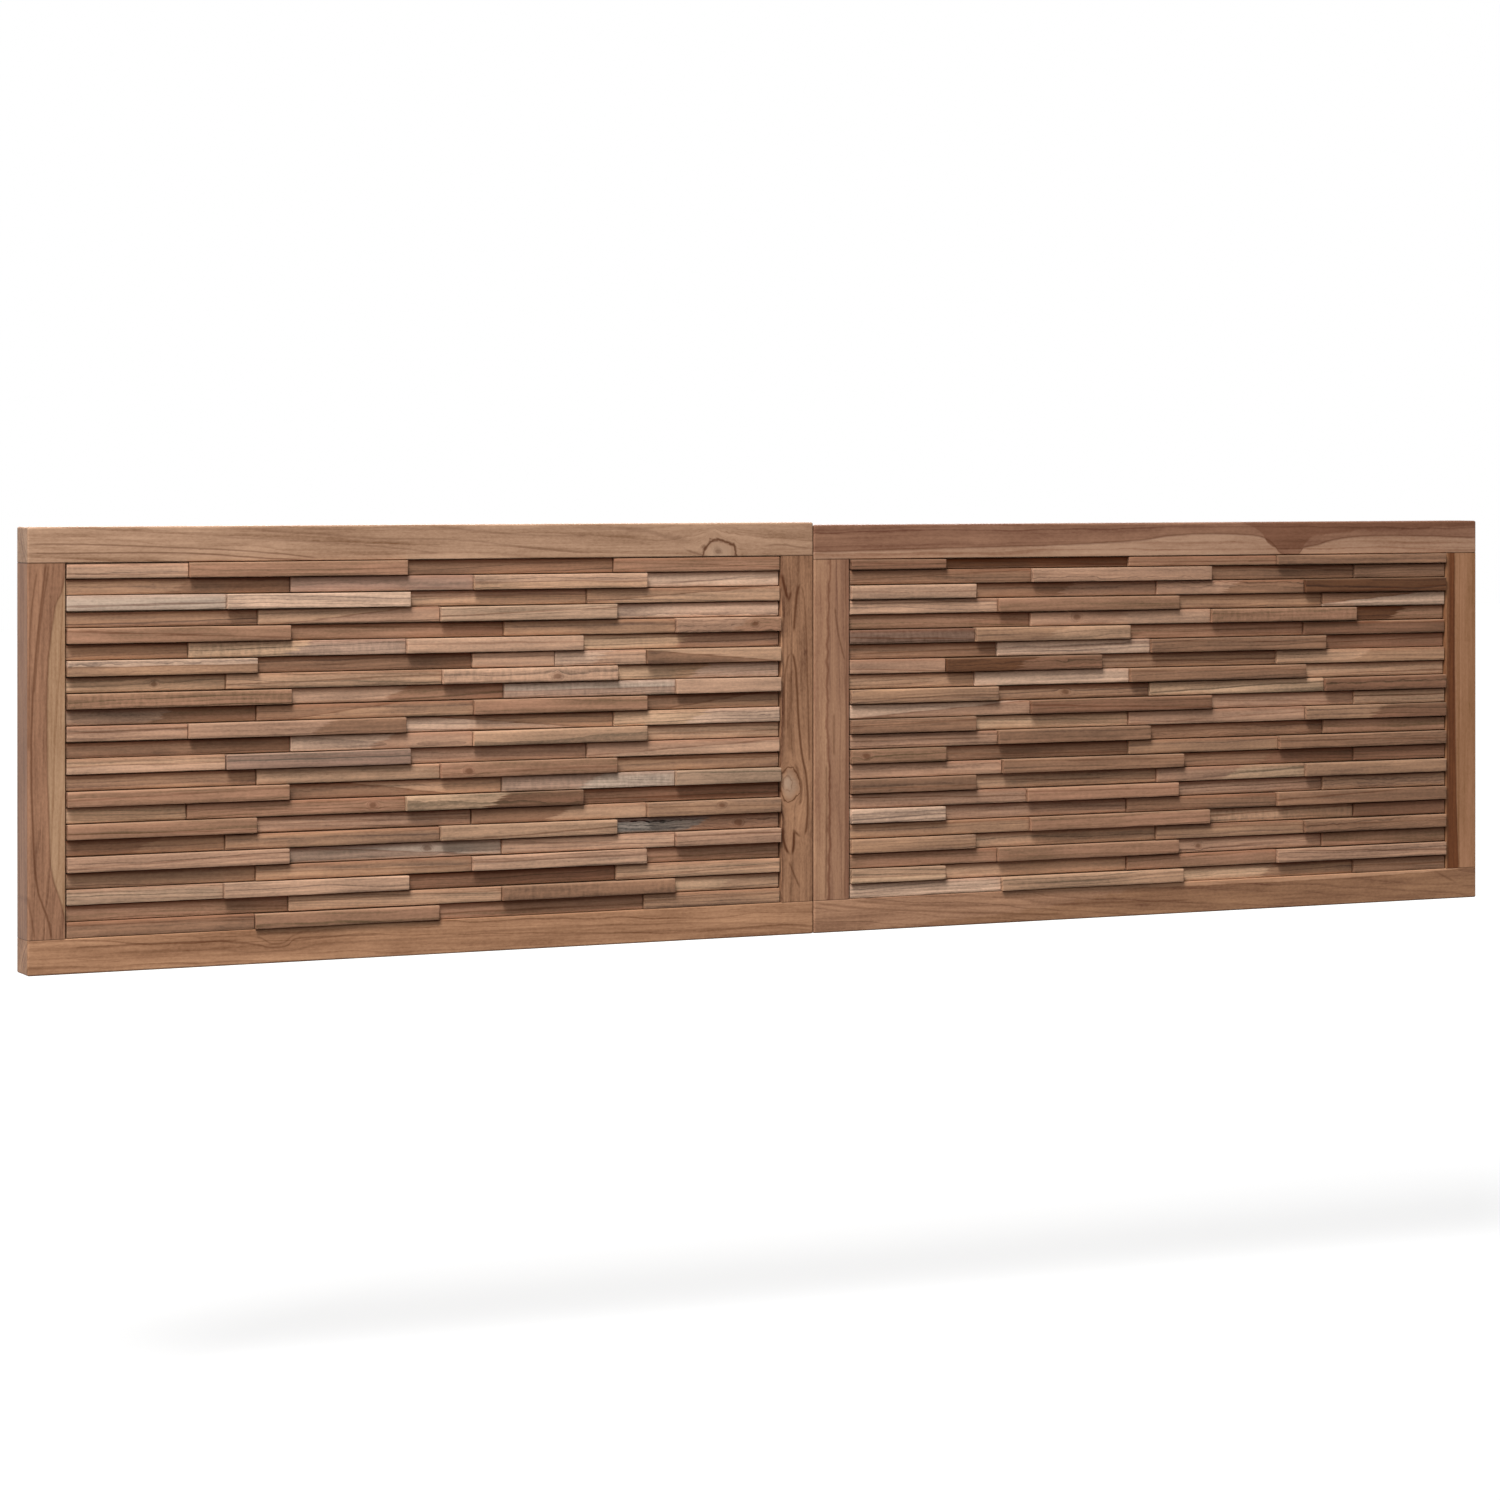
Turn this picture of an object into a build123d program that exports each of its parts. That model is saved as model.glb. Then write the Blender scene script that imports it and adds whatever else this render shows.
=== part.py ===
from build123d import *
import os

# A wall-hung headboard: two framed teak panels side by side, each filled with stacked teak strips.
# X runs along the bed's width, Y points to the wall and Z is up. All sizes are in millimetres.
# The panels' back faces lie on the plane Y = 0. The origin lies on that plane and on the line of the
# four keyholes, midway between them, which is also the middle of the seam between the panels.

# Panels
panel_width = 900.0
left_panel_height = 460.0
right_panel_shortfall = 3.0
panel_gap = 0.8
frame_depth = 38.0
hanger_drop = 17.5

# Frame members
top_rail_height = 37.0
right_top_rail_extra = 1.5
bottom_rail_height = 36.5
stile_width = 40.0
right_stile_extra = 4.5
outer_edge_radius = 2.0
inner_edge_radius = 1.0

# Backing board, in a rebate behind the frame's front lip
lip_depth = 11.0
rebate_width = 10.0
board_thickness = 9.0
board_clearance = 0.5

# Strips, glued to the board in three thicknesses
strip_recessed = 7.0
strip_middle = 10.6
strip_proud = 15.0
strip_seam = 0.3
strip_end_gap = 1.0
strip_side_gap = 1.8
strip_edge_chamfer = 0.7

# Dowels between rails and stiles
dowel_radius = 4.0
dowel_length = 40.0
dowel_inset = 12.0
dowel_chamfer = 1.0
dowel_clearance = 0.1
dowel_end_gap = 0.5

# Countersunk screws: board screws and hanger screws
board_screw_head_radius = 3.5
board_screw_shank_radius = 1.75
board_screw_length = 16.0
board_screw_tip = 3.0
board_screws_per_rail = 6
board_screws_per_stile = 3
hanger_screw_head_radius = 3.0
hanger_screw_shank_radius = 1.5
hanger_screw_length = 14.0
hanger_screw_tip = 2.5
screw_clearance = 0.15
drive_length_share = 0.6
drive_width_share = 0.14
drive_depth_share = 0.45

# Keyhole hanger plates, let in flush with the back of the top rails
plate_length = 46.0
plate_height = 18.0
plate_thickness = 1.5
plate_corner_radius = 3.0
plate_clearance = 0.2
plate_screw_spacing = 34.0
keyhole_radius = 4.5
keyhole_slot_radius = 2.2
keyhole_rise = 6.7
plate_centre_rise = 2.5
pocket_depth = 10.0
pocket_clearance = 0.3

# One named overrun carries every cut clear past the face that it starts from.
overrun = 5.0

# Each row lists its strips' thicknesses from left to right, as R for recessed, M for middle and
# P for proud, and then its joints as shares of the width between the stiles. Rows run downwards.
left_row_shares = (
    ("MPRM", 0.161, 0.457, 0.752),
    ("RMPR", 0.298, 0.550, 0.799),
    ("MPRM", 0.211, 0.461, 0.713),
    ("RMPR", 0.254, 0.503, 0.755),
    ("PRMP", 0.297, 0.594, 0.842),
    ("RMPR", 0.161, 0.456, 0.706),
    ("PRMMP", 0.252, 0.549, 0.666, 0.799),
    ("RMPR", 0.211, 0.506, 0.756),
    ("PRMP", 0.298, 0.594, 0.842),
    ("RMPR", 0.252, 0.550, 0.799),
    ("MPRM", 0.160, 0.455, 0.752),
    ("RMPR", 0.298, 0.549, 0.799),
    ("MPRM", 0.210, 0.461, 0.713),
    ("RMPR", 0.252, 0.503, 0.755),
    ("PRMP", 0.295, 0.591, 0.841),
    ("RMPR", 0.159, 0.455, 0.706),
    ("PRMP", 0.251, 0.548, 0.799),
    ("RMPR", 0.210, 0.503, 0.755),
    ("PRMP", 0.295, 0.591, 0.841),
    ("RMPR", 0.251, 0.548, 0.798),
    ("MPRM", 0.207, 0.459, 0.755),
    ("RMPR", 0.295, 0.590, 0.840),
    ("MPRM", 0.249, 0.501, 0.796),
)
right_row_shares = (
    ("PRMP", 0.151, 0.451, 0.701),
    ("MPRM", 0.290, 0.588, 0.838),
    ("PRMP", 0.199, 0.498, 0.749),
    ("MPRM", 0.235, 0.533, 0.782),
    ("RMPR", 0.289, 0.588, 0.839),
    ("MPRM", 0.199, 0.451, 0.749),
    ("RMPR", 0.235, 0.486, 0.785),
    ("MPRM", 0.152, 0.404, 0.702),
    ("RMPR", 0.199, 0.451, 0.750),
    ("PRMP", 0.235, 0.486, 0.784),
    ("MPRM", 0.288, 0.588, 0.837),
    ("PRMP", 0.199, 0.451, 0.750),
    ("MPRM", 0.235, 0.485, 0.783),
    ("PRMP", 0.151, 0.451, 0.704),
    ("MPRM", 0.242, 0.541, 0.837),
    ("PRMP", 0.199, 0.498, 0.750),
    ("MPRM", 0.282, 0.532, 0.782),
    ("PRMP", 0.150, 0.448, 0.701),
    ("MPRM", 0.287, 0.585, 0.837),
    ("PRMP", 0.198, 0.497, 0.748),
    ("MPRM", 0.234, 0.532, 0.781),
    ("PRMP", 0.150, 0.448, 0.701),
    ("MPRM", 0.241, 0.540, 0.836),
)

# Planes and lines that both panels share
front_y = -frame_depth
board_front_y = front_y + lip_depth
board_back_y = board_front_y + board_thickness
bottom_z = hanger_drop - left_panel_height
row_count = len(left_row_shares)
left_opening_height = left_panel_height - top_rail_height - bottom_rail_height
row_pitch = left_opening_height / row_count
keyhole_pitch = (panel_width + panel_gap) / 2
strip_thickness = {"R": strip_recessed, "M": strip_middle, "P": strip_proud}


def block(x_span, y_span, z_span):
    """A square-edged block between two places along each axis."""
    spans = (x_span, y_span, z_span)
    corner = [min(span) for span in spans]
    size = [max(span) - min(span) for span in spans]
    return Pos(*corner) * Box(*size, align=Align.MIN)


def wood_screw(head_radius, shank_radius, length, tip, grown=0):
    """A countersunk screw pointing to -Y with its head's flat at Y = 0, or with grown, its hole."""
    head_depth = head_radius - shank_radius
    profile = Polyline(
        (0, 0),
        (head_radius + grown, 0),
        (shank_radius + grown, -head_depth),
        (shank_radius + grown, tip - length),
        (0, -length - grown),
        close=True,
    )
    return revolve(make_face(profile), Axis.Y)


def cross_drive(head_radius):
    """The cross-shaped recess in a screw's head."""
    half_length = head_radius * drive_length_share
    half_width = head_radius * drive_width_share
    depth = head_radius * drive_depth_share
    flat = block((-half_length, half_length), (-depth, overrun), (-half_width, half_width))
    upright = block((-half_width, half_width), (-depth, overrun), (-half_length, half_length))
    return flat + upright


board_screw = wood_screw(
    board_screw_head_radius, board_screw_shank_radius, board_screw_length, board_screw_tip
) - cross_drive(board_screw_head_radius)
board_screw_hole = wood_screw(
    board_screw_head_radius,
    board_screw_shank_radius,
    board_screw_length,
    board_screw_tip,
    screw_clearance,
)
hanger_screw = wood_screw(
    hanger_screw_head_radius, hanger_screw_shank_radius, hanger_screw_length, hanger_screw_tip
) - cross_drive(hanger_screw_head_radius)
hanger_screw_hole = wood_screw(
    hanger_screw_head_radius,
    hanger_screw_shank_radius,
    hanger_screw_length,
    hanger_screw_tip,
    screw_clearance,
)


def keyhole_outline(head_end_radius, seat_radius):
    """A round entry on the origin that narrows upwards to a seat, drawn on the back plane."""
    seat = Pos(0, keyhole_rise) * Circle(seat_radius)
    neck = Pos(0, keyhole_rise / 2) * Rectangle(2 * seat_radius, keyhole_rise)
    return Circle(head_end_radius) + neck + seat


def plate_outline(grown):
    """The hanger plate's rounded outline, drawn on the back plane about its keyhole's entry."""
    outline = RectangleRounded(
        plate_length + 2 * grown, plate_height + 2 * grown, plate_corner_radius + grown
    )
    return Pos(0, plate_centre_rise) * outline


def back_plane_solid(outline, depth):
    """An outline drawn on the back plane, carried depth into the wood, to -Y."""
    return extrude(Plane.XZ * outline, depth)


def plate_screw_places():
    """The hanger plate's two screws, seen from its keyhole's entry."""
    half = plate_screw_spacing / 2
    return [Pos(x, 0, plate_centre_rise) for x in (-half, half)]


hanger_plate = back_plane_solid(plate_outline(0), plate_thickness)
hanger_plate -= back_plane_solid(keyhole_outline(keyhole_radius, keyhole_slot_radius), plate_thickness)
for place in plate_screw_places():
    hanger_plate -= place * hanger_screw_hole

pocket_radius = keyhole_radius + pocket_clearance
hanger_recess = back_plane_solid(plate_outline(plate_clearance), plate_thickness)
hanger_recess += back_plane_solid(keyhole_outline(pocket_radius, pocket_radius), pocket_depth)
for place in plate_screw_places():
    hanger_recess += place * hanger_screw_hole


class Panel:
    """The lines of one panel: its outer edges and the opening between its rails and stiles."""

    def __init__(self, left_x, height, top_rail_height, stile_width):
        self.left = left_x
        self.right = left_x + panel_width
        self.bottom = bottom_z
        self.top = bottom_z + height
        self.opening_x = (self.left + stile_width, self.right - stile_width)
        self.opening_z = (self.bottom + bottom_rail_height, self.top - top_rail_height)
        self.stile_width = stile_width

    def board_pocket(self, inset):
        """The outline of the rebate behind the lip, or of the board that fits it with an inset."""
        reach = rebate_width - inset
        x_span = (self.opening_x[0] - reach, self.opening_x[1] + reach)
        z_span = (self.opening_z[0] - reach, self.opening_z[1] + reach)
        return x_span, z_span

    def dowel_places(self):
        """The middle of each dowel, on the joint faces between stiles and rails."""
        from_side = (self.stile_width - rebate_width) / 2
        return [
            Pos(x, y, z)
            for x in (self.left + from_side, self.right - from_side)
            for y in (front_y + dowel_inset, -dowel_inset)
            for z in self.opening_z
        ]

    def board_screw_places(self):
        """The board screws' heads, along the middle of the lip all the way round."""
        to_lip = rebate_width / 2
        (x_low, x_high), (z_low, z_high) = self.opening_x, self.opening_z
        x_step = (x_high - x_low) / board_screws_per_rail
        z_step = (z_high - z_low) / board_screws_per_stile
        places = []
        for index in range(board_screws_per_rail):
            x = x_low + x_step * (index + 0.5)
            places += [Pos(x, board_back_y, z) for z in (z_low - to_lip, z_high + to_lip)]
        for index in range(board_screws_per_stile):
            z = z_low + z_step * (index + 0.5)
            places += [Pos(x, board_back_y, z) for x in (x_low - to_lip, x_high + to_lip)]
        return places


def keyhole_places():
    """The keyholes' entries: two on each panel, evenly spaced along the back plane's X axis."""
    return [Pos(keyhole_pitch * step, 0, 0) for step in (-1.5, -0.5, 0.5, 1.5)]


def hollowed(member, panel):
    """A frame member with its rebate, dowel holes and screw holes cut."""
    x_span, z_span = panel.board_pocket(0)
    member -= block(x_span, (board_front_y, overrun), z_span)
    box = member.bounding_box()
    for place in panel.dowel_places():
        if box.min.X < place.position.X < box.max.X:
            depth = dowel_length + 2 * dowel_end_gap
            member -= place * Cylinder(dowel_radius + dowel_clearance, depth)
    for place in panel.board_screw_places():
        inside_x = box.min.X < place.position.X < box.max.X
        inside_z = box.min.Z < place.position.Z < box.max.Z
        if inside_x and inside_z:
            member -= place * board_screw_hole
    return member


def rail(panel, z_span, outer_z, inner_z):
    """A rail that runs the panel's whole width, with its outer arrises rounded off."""
    member = block((panel.left, panel.right), (front_y, 0), z_span)
    front_edges = member.edges().group_by(Axis.Y)[0]
    outer_front = front_edges.filter_by(Axis.X).sort_by(Axis.Z)[-1 if outer_z > inner_z else 0]
    end_front = front_edges.filter_by(Axis.Z)
    end_outer = member.edges().filter_by(Axis.Y).filter_by_position(Axis.Z, outer_z, outer_z)
    member = fillet([outer_front] + list(end_front) + list(end_outer), outer_edge_radius)
    front_edges = member.edges().filter_by(Axis.X).group_by(Axis.Y)[0]
    inner_front = [edge for edge in front_edges if abs(edge.center().Z - inner_z) < inner_edge_radius]
    return hollowed(fillet(inner_front, inner_edge_radius), panel)


def stile(panel, x_span, outer_x):
    """A stile that stands between the rails, with its two front arrises rounded off."""
    member = block(x_span, (front_y, 0), panel.opening_z)
    front_edges = member.edges().filter_by(Axis.Z).group_by(Axis.Y)[0].sort_by(Axis.X)
    outer_edge = front_edges[0 if outer_x == min(x_span) else -1]
    inner_edge = front_edges[-1 if outer_x == min(x_span) else 0]
    member = fillet(outer_edge, outer_edge_radius)
    inner_x = inner_edge.center().X
    front_edges = member.edges().filter_by(Axis.Z).group_by(Axis.Y)[0]
    inner_edge = [edge for edge in front_edges if abs(edge.center().X - inner_x) < inner_edge_radius]
    return hollowed(fillet(inner_edge, inner_edge_radius), panel)


def backing_board(panel):
    """The plywood board in the rebate, countersunk for its screws."""
    x_span, z_span = panel.board_pocket(board_clearance)
    board = block(x_span, (board_front_y, board_back_y), z_span)
    for place in panel.board_screw_places():
        board -= place * board_screw_hole
    return board


def strip(x_span, thickness, z_span):
    """One teak strip on the board's front face, with its four front arrises eased."""
    body = block(x_span, (board_front_y - thickness, board_front_y), z_span)
    front = body.faces().sort_by(Axis.Y)[0]
    return chamfer(front.edges(), strip_edge_chamfer)


def strip_rows(panel, row_shares):
    """The rows of strips from the top down; the top row is ripped to the height that is left."""
    x_low = panel.opening_x[0] + strip_side_gap
    x_high = panel.opening_x[1] - strip_side_gap
    opening_width = panel.opening_x[1] - panel.opening_x[0]
    rows = []
    for index, (letters, *joint_shares) in enumerate(row_shares):
        from_bottom = row_count - 1 - index
        z_low = panel.opening_z[0] + row_pitch * from_bottom + strip_seam
        z_high = panel.opening_z[0] + row_pitch * (from_bottom + 1)
        if index == 0:
            z_high = panel.opening_z[1] - strip_seam
        joints = [panel.opening_x[0] + opening_width * share for share in joint_shares]
        starts = [x_low] + [x + strip_end_gap / 2 for x in joints]
        ends = [x - strip_end_gap / 2 for x in joints] + [x_high]
        strips = [
            strip((start, end), strip_thickness[letter], (z_low, z_high))
            for start, end, letter in zip(starts, ends, letters)
        ]
        rows.append(strips)
    return rows


left_panel = Panel(-panel_gap / 2 - panel_width, left_panel_height, top_rail_height, stile_width)
right_panel = Panel(
    panel_gap / 2,
    left_panel_height - right_panel_shortfall,
    top_rail_height + right_top_rail_extra,
    stile_width + right_stile_extra,
)
panels = (
    ("left", left_panel, left_row_shares, ("outer", "inner")),
    ("right", right_panel, right_row_shares, ("inner", "outer")),
)

nodes = {}
dowels, board_screws = [], []
dowel = Cylinder(dowel_radius, dowel_length)
dowel = chamfer(dowel.edges().filter_by(GeomType.CIRCLE), dowel_chamfer)
for side, panel, row_shares, stile_names in panels:
    opening_bottom, opening_top = panel.opening_z
    top_rail = rail(panel, (opening_top, panel.top), panel.top, opening_top)
    for place in keyhole_places():
        if panel.left < place.position.X < panel.right:
            top_rail -= place * hanger_recess
    nodes[f"{side}_top_rail"] = top_rail
    nodes[f"{side}_bottom_rail"] = rail(
        panel, (panel.bottom, opening_bottom), panel.bottom, opening_bottom
    )
    stile_spans = ((panel.left, panel.opening_x[0]), (panel.opening_x[1], panel.right))
    for stile_name, x_span, outer_x in zip(stile_names, stile_spans, (panel.left, panel.right)):
        nodes[f"{side}_{stile_name}_stile"] = stile(panel, x_span, outer_x)
    nodes[f"{side}_backing_board"] = backing_board(panel)
    for number, strips in enumerate(strip_rows(panel, row_shares), start=1):
        nodes[f"{side}_strip_row_{number:02d}"] = Compound(children=strips)
    dowels += [place * dowel for place in panel.dowel_places()]
    board_screws += [place * board_screw for place in panel.board_screw_places()]

nodes["frame_dowels"] = Compound(children=dowels)
nodes["board_screws"] = Compound(children=board_screws)
nodes["hanger_plates"] = Compound(children=[place * hanger_plate for place in keyhole_places()])
nodes["hanger_screws"] = Compound(
    children=[
        place * offset * hanger_screw for place in keyhole_places() for offset in plate_screw_places()
    ]
)

os.makedirs("parts", exist_ok=True)
for name, shape in nodes.items():
    export_step(shape, f"parts/{name}.step")
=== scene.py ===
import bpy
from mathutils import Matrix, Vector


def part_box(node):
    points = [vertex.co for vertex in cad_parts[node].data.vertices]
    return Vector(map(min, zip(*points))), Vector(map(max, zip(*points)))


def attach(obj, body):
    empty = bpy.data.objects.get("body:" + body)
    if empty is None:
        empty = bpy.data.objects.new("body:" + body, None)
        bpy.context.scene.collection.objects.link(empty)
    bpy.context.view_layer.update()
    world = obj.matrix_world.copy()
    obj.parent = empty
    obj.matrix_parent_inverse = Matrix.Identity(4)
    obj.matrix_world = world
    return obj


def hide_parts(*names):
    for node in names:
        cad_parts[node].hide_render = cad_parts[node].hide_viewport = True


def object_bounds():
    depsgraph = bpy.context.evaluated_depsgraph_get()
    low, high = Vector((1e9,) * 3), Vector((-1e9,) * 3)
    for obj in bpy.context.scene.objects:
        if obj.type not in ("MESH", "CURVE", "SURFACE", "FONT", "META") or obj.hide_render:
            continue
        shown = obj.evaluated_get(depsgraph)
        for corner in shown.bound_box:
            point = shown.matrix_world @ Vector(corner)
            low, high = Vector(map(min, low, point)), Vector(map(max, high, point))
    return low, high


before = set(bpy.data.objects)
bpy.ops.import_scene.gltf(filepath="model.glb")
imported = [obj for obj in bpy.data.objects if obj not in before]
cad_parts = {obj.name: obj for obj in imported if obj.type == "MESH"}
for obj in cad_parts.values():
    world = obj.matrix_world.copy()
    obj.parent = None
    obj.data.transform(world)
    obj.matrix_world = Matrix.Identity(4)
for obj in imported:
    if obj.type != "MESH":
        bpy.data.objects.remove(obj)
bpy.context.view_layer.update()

import math
import random
import re

import bpy
import numpy as np
from mathutils import Vector

# Frame members. Each panel has four boards of reclaimed teak, planed, their arrises eased by hand
# and oiled to a dull sheen. The rails run through, so their end grain shows at the panel's sides,
# and the stiles stand between them on dowels. Their solids keep their shape and get a finish here.

millimetre = 0.001


def linear(hex_colour):
    """An sRGB hex colour as linear red, green, blue and alpha."""
    channels = [int(hex_colour[start : start + 2], 16) / 255 for start in (1, 3, 5)]
    return [c / 12.92 if c <= 0.04045 else ((c + 0.055) / 1.055) ** 2.4 for c in channels] + [1]


def add(tree, kind, sockets=None, **settings):
    """A new node with its settings, whose input sockets take values, nodes or links.

    The kinds of shader nodes go without the word ShaderNode.
    """
    node = tree.nodes.new(kind if kind.startswith(("Node", "Geometry")) else "ShaderNode" + kind)
    for name, value in settings.items():
        setattr(node, name, value)
    for key, value in (sockets or {}).items():
        if isinstance(value, bpy.types.Node):
            value = value.outputs[0]
        if isinstance(value, bpy.types.NodeSocket):
            tree.links.new(value, node.inputs[key])
        else:
            node.inputs[key].default_value = value
    return node


def new_tree(name, kind, inputs, outputs):
    """A node tree with named sockets, given as pairs of a name and a kind, and its two end nodes."""
    tree = bpy.data.node_groups.new(name, kind)
    for direction, sockets in (("INPUT", inputs), ("OUTPUT", outputs)):
        for socket_name, socket_kind in sockets:
            socket_type = "NodeSocket" + socket_kind
            tree.interface.new_socket(socket_name, in_out=direction, socket_type=socket_type)
    return tree, add(tree, "NodeGroupInput"), add(tree, "NodeGroupOutput")


# Grain flows round a knot as water flows round a post. Place is where a point is, and Flow where
# its grain is read, which earlier knots may have moved. Both are in millimetres: X along the grain,
# Y deep into the wood and Z across it. Knot holds its place along and across, and its radius.
# Knots are longer than wide, have a ragged edge and push the grain aside.
knot_squeeze = 0.7
knot_push = 0.85
knot_raggedness = (0.7, 1.35)
knot_rim_share = (0.04, 0.24)
smallest_knot = 0.01

knot_tree, knot_in, knot_out = new_tree(
    "grain_round_a_knot",
    "ShaderNodeTree",
    (("Place", "Vector"), ("Flow", "Vector"), ("Knot", "Vector")),
    (("Flow", "Vector"), ("Core", "Float"), ("Rim", "Float")),
)
flow_along, flow_deep, flow_across = add(knot_tree, "SeparateXYZ", {0: knot_in.outputs["Flow"]}).outputs
place_along, _, place_across = add(knot_tree, "SeparateXYZ", {0: knot_in.outputs["Place"]}).outputs
knot_along, knot_across, knot_size = add(knot_tree, "SeparateXYZ", {0: knot_in.outputs["Knot"]}).outputs
knot_radius = add(knot_tree, "Math", {0: knot_size, 1: smallest_knot}, operation="MAXIMUM")
along_gap = add(knot_tree, "Math", {0: place_along, 1: knot_along}, operation="SUBTRACT")
along_gap = add(knot_tree, "Math", {0: along_gap, 1: knot_squeeze}, operation="MULTIPLY")
across_gap = add(knot_tree, "Math", {0: place_across, 1: knot_across}, operation="SUBTRACT")
from_knot = add(knot_tree, "CombineXYZ", {0: along_gap, 1: across_gap})
per_radius = add(knot_tree, "Math", {0: 0.9, 1: knot_radius}, operation="DIVIDE")
ragged_place = add(
    knot_tree,
    "VectorMath",
    {0: from_knot, 1: per_radius, 2: knot_in.outputs["Knot"]},
    operation="MULTIPLY_ADD",
)
ragged = add(knot_tree, "TexNoise", {"Vector": ragged_place, "Scale": 1, "Detail": 3})
ragged_share = add(
    knot_tree, "MapRange", {0: ragged, 1: 0.25, 2: 0.75, 3: knot_raggedness[0], 4: knot_raggedness[1]}
)
distance = add(knot_tree, "VectorMath", {0: from_knot}, operation="LENGTH")
distance = add(knot_tree, "Math", {0: distance.outputs["Value"], 1: ragged_share}, operation="MULTIPLY")
knot_share = add(knot_tree, "Math", {0: distance, 1: knot_radius}, operation="DIVIDE")
outside = add(knot_tree, "Math", {0: knot_share, 1: 1.0}, operation="MAXIMUM")
outside = add(knot_tree, "Math", {0: outside, 1: 2.0}, operation="POWER")
push_share = add(knot_tree, "Math", {0: -knot_push, 1: outside}, operation="DIVIDE")
pushed = add(knot_tree, "Math", {0: across_gap, 1: push_share, 2: flow_across}, operation="MULTIPLY_ADD")
flowed = add(knot_tree, "CombineXYZ", {0: flow_along, 1: flow_deep, 2: pushed})
knot_core = add(knot_tree, "MapRange", {0: knot_share, 1: 1.05, 2: 0.35}, interpolation_type="SMOOTHSTEP")
knot_rim = add(knot_tree, "Math", {0: knot_share, 1: 1.0}, operation="SUBTRACT")
knot_rim = add(knot_tree, "Math", {0: knot_rim}, operation="ABSOLUTE")
rim_width = add(
    knot_tree, "MapRange", {0: ragged, 1: 0.35, 2: 0.65, 3: knot_rim_share[0], 4: knot_rim_share[1]}
)
knot_rim = add(knot_tree, "MapRange", {0: knot_rim, 1: rim_width, 2: 0.0}, interpolation_type="SMOOTHSTEP")
knot_tree.links.new(flowed.outputs[0], knot_out.inputs["Flow"])
knot_tree.links.new(knot_core.outputs[0], knot_out.inputs["Core"])
knot_tree.links.new(knot_rim.outputs[0], knot_out.inputs["Rim"])

# Teak's figure: growth rings about a pith that lies across and deep of the board, straight fibres
# and short dark pores. Cut holds the ring gap and the pith's place across and deep. Lie holds the
# slant, how far the grain wanders and how far it curls. Marks holds how strong saw marks and
# stripes are, and its third value is the seed of a strip, which only the strips' finish reads.
# The saw marks have their waves in a millimetre, and the rings change slowly along the grain.
seed_step = (37.1, 17.3, 71.9)
ring_change = 0.0025
saw_pitch = (0.24, 0.06, 0.1)
darkest_grain = 1.35

grain_tree, grain_in, grain_out = new_tree(
    "sawn_teak_grain",
    "ShaderNodeTree",
    (
        ("Place", "Vector"),
        ("Seed", "Float"),
        ("Light", "Color"),
        ("Dark", "Color"),
        ("Cut", "Vector"),
        ("Lie", "Vector"),
        ("Marks", "Vector"),
    ),
    (("Color", "Color"), ("Height", "Float")),
)
grain_place = grain_in.outputs["Place"]
ring_gap, pith_across, pith_deep = add(grain_tree, "SeparateXYZ", {0: grain_in.outputs["Cut"]}).outputs
grain_slant, wander_reach, curl_reach = add(grain_tree, "SeparateXYZ", {0: grain_in.outputs["Lie"]}).outputs
saw_strength, stripe_strength, _ = add(grain_tree, "SeparateXYZ", {0: grain_in.outputs["Marks"]}).outputs
seed_shift = add(
    grain_tree, "VectorMath", {0: seed_step, "Scale": grain_in.outputs["Seed"]}, operation="SCALE"
)

# Each noise has its waves in a millimetre along, deep and across, and its detail. Real fibres and
# pores are too fine for the render, so they are drawn some four times as coarse.
noises = {}
for noise_name, pitch, detail in (
    ("wander", (0.006, 0.015, 0.02), 2),
    ("curl", (0.045, 0.05, 0.09), 2),
    ("fibres", (0.008, 0.36, 0.36), 4),
    ("pores", (0.07, 1.1, 1.1), 2),
    ("patches", (0.007, 0.04, 0.04), 3),
    ("fuzz", (0.22, 0.5, 0.5), 3),
):
    noise_place = add(
        grain_tree, "VectorMath", {0: grain_place, 1: pitch, 2: seed_shift}, operation="MULTIPLY_ADD"
    )
    noises[noise_name] = add(
        grain_tree, "TexNoise", {"Vector": noise_place, "Scale": 1, "Detail": detail, "Roughness": 0.6}
    )
grain_along, grain_deep, grain_across = add(grain_tree, "SeparateXYZ", {0: grain_place}).outputs
ring_across = add(grain_tree, "Math", {0: grain_across, 1: pith_across}, operation="SUBTRACT")
slant = add(grain_tree, "Math", {0: grain_along, 1: grain_slant}, operation="MULTIPLY")
ring_across = add(grain_tree, "Math", {0: ring_across, 1: slant}, operation="SUBTRACT")
for noise_name, swing_reach in (("wander", wander_reach), ("curl", curl_reach)):
    swing = add(grain_tree, "Math", {0: noises[noise_name], 1: 0.5}, operation="SUBTRACT")
    ring_across = add(
        grain_tree, "Math", {0: swing, 1: swing_reach, 2: ring_across}, operation="MULTIPLY_ADD"
    )
ring_deep = add(grain_tree, "Math", {0: grain_deep, 1: pith_deep}, operation="ADD")
from_pith = add(grain_tree, "CombineXYZ", {0: ring_across, 1: ring_deep})
ring_radius = add(grain_tree, "VectorMath", {0: from_pith}, operation="LENGTH")
rings = add(grain_tree, "Math", {0: ring_radius.outputs["Value"], 1: ring_gap}, operation="DIVIDE")
ring_run = add(grain_tree, "Math", {0: grain_along, 1: ring_change}, operation="MULTIPLY")
ring_place = add(grain_tree, "CombineXYZ", {0: rings, 1: ring_run, 2: grain_in.outputs["Seed"]})
bands = add(grain_tree, "TexNoise", {"Vector": ring_place, "Scale": 0.6, "Detail": 4, "Roughness": 0.65})
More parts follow.
